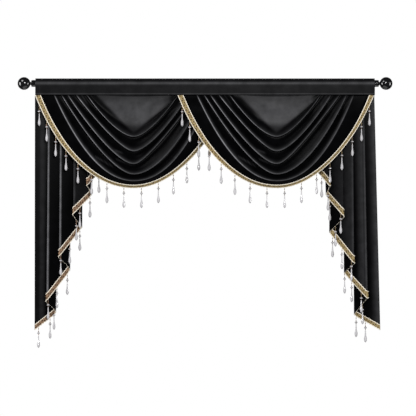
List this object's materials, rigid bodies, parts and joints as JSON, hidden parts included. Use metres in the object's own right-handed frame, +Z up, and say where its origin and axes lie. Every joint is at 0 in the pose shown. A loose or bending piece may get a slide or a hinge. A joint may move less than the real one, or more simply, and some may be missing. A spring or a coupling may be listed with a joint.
{
  "type": "window valance with curtain rod",
  "caption": "Window valance of black velvet on a rod with ball finials: rod-pocket header, overlapping cowl swags, knife-pleated tails, and braid with hanging bead drops.",
  "frame": {"origin": "on the rod's axis, half way along it", "axes": "+X along the rod to the viewer's right, +Y back towards the wall, +Z up; the front faces -Y"},
  "size_m": [1.7676, 0.1109, 1.2769],
  "materials": {
    "velvet": "black velvet with a soft satin sheen",
    "header_cloth": "black velvet, pressed flat",
    "braid": "woven gold and ivory braid with scalloped edges",
    "crystal": "clear faceted beads",
    "rod_metal": "gloss black"
  },
  "bodies": {
    "root": {"header": "header_cloth", "swag_left": "velvet", "swag_right": "velvet", "tail_left": "velvet", "tail_right": "velvet", "trim_swag_left": "braid", "trim_swag_right": "braid", "trim_tail_left": "braid", "trim_tail_right": "braid", "rod": "rod_metal", "finial_left": "rod_metal", "finial_right": "rod_metal"}
  },
  "joints": []
}
